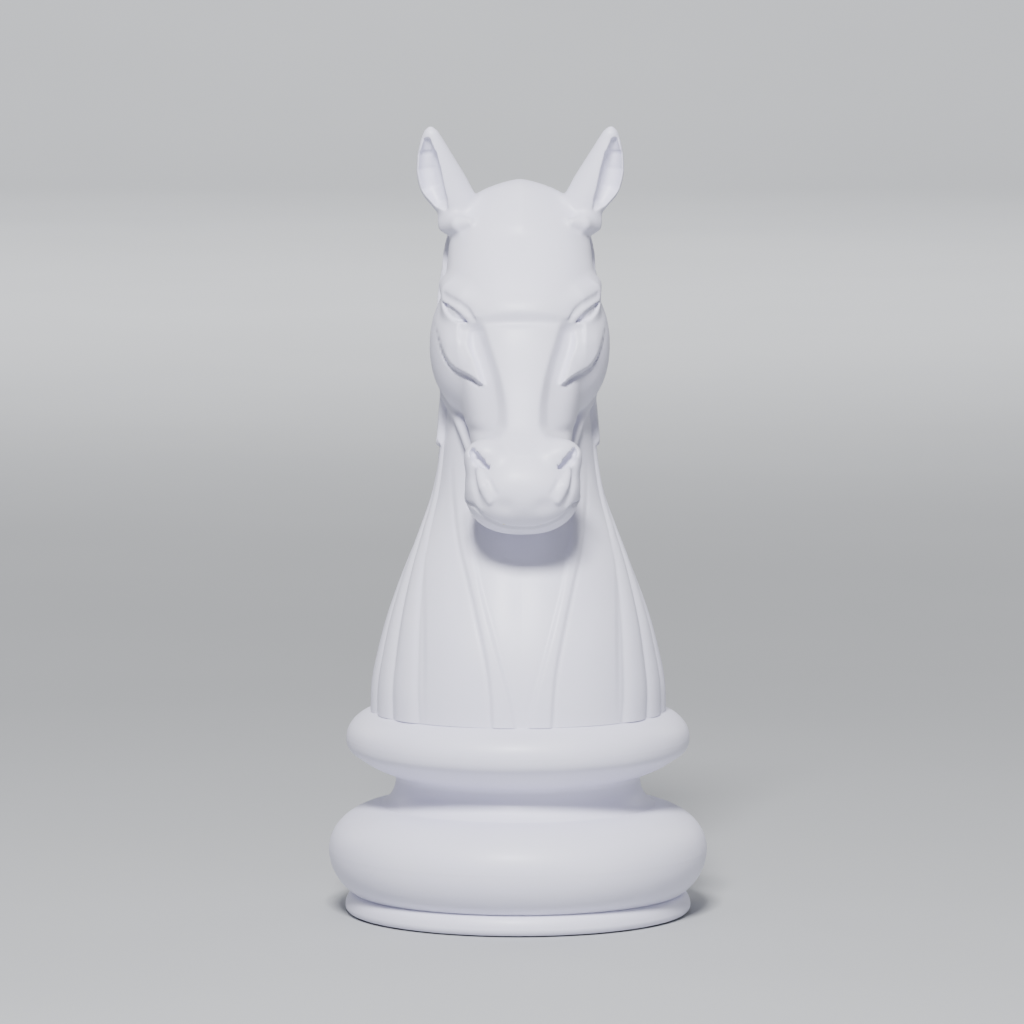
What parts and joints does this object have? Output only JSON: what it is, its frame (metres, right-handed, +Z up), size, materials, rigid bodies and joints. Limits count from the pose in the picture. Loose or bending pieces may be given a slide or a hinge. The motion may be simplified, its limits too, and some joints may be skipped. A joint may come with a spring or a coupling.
{
  "type": "giant chess piece",
  "caption": "White horse's-head knight for a large outdoor chess set: a hollow figure that lifts off a turned, weighted base with a screw filler cap.",
  "frame": {"origin": "on the ground, on the axis of the turned base", "axes": "+Z up along the base's axis, -Y the way the horse faces, +X towards the horse's left"},
  "size_m": [0.2414, 0.2414, 0.5015],
  "materials": {
    "white_gloss": "glossy cool white gelcoat on a moulded shell",
    "inner_laminate": "bare resin laminate",
    "black_plastic": "fine-grained moulded plastic",
    "red_plastic": "satin moulded plastic",
    "rubber": "matt",
    "steel": "turned",
    "brass": "knurled",
    "ear_pin_rod": "glass-fibre rod",
    "sand": "dry silica sand"
  },
  "bodies": {
    "base": {"foot_ring": "white_gloss", "bulb_shell": "white_gloss", "waist_shell": "white_gloss", "base_plate": "black_plastic", "rubber_feet": "rubber", "foot_screws": "steel", "base_gasket": "rubber", "base_screws": "steel", "base_inserts": "brass", "ballast_sand": "sand", "flange_bolts": "steel", "flange_nuts": "steel", "socket_ring": "inner_laminate", "deck_gasket": "rubber", "deck_plate": "black_plastic", "deck_screws": "steel", "deck_inserts": "brass", "filler_neck": "black_plastic", "neck_nut": "black_plastic"},
    "cap_seal_carrier": {"cap_seal": "rubber"},
    "filler_cap_body": {"filler_cap": "red_plastic"},
    "figure": {"figure_left_shell": "white_gloss", "figure_right_shell": "white_gloss", "ear_left": "white_gloss", "ear_right": "white_gloss", "ear_pins": "ear_pin_rod", "seam_strip": "inner_laminate", "spigot_ring": "inner_laminate", "spigot_seal": "rubber", "spigot_screws": "steel"}
  },
  "joints": [
    {"name": "figure_lift", "type": "slide", "parent": "base", "child": "figure", "axis": [0, 0, 1], "range_m": [0, 0.06]},
    {"name": "cap_lift", "type": "slide", "parent": "base", "child": "cap_seal_carrier", "axis": [0, 0, 1], "range_m": [0, 0.012]},
    {"name": "cap_turn", "type": "hinge", "parent": "cap_seal_carrier", "child": "filler_cap_body", "pos_m": [0, 0, 0.12], "axis": [0, 0, 1], "range_deg": [0, 720]}
  ],
  "couplings": [
    {"joint": "cap_turn", "follows": "cap_lift", "rad_per_m": 1047.2}
  ]
}
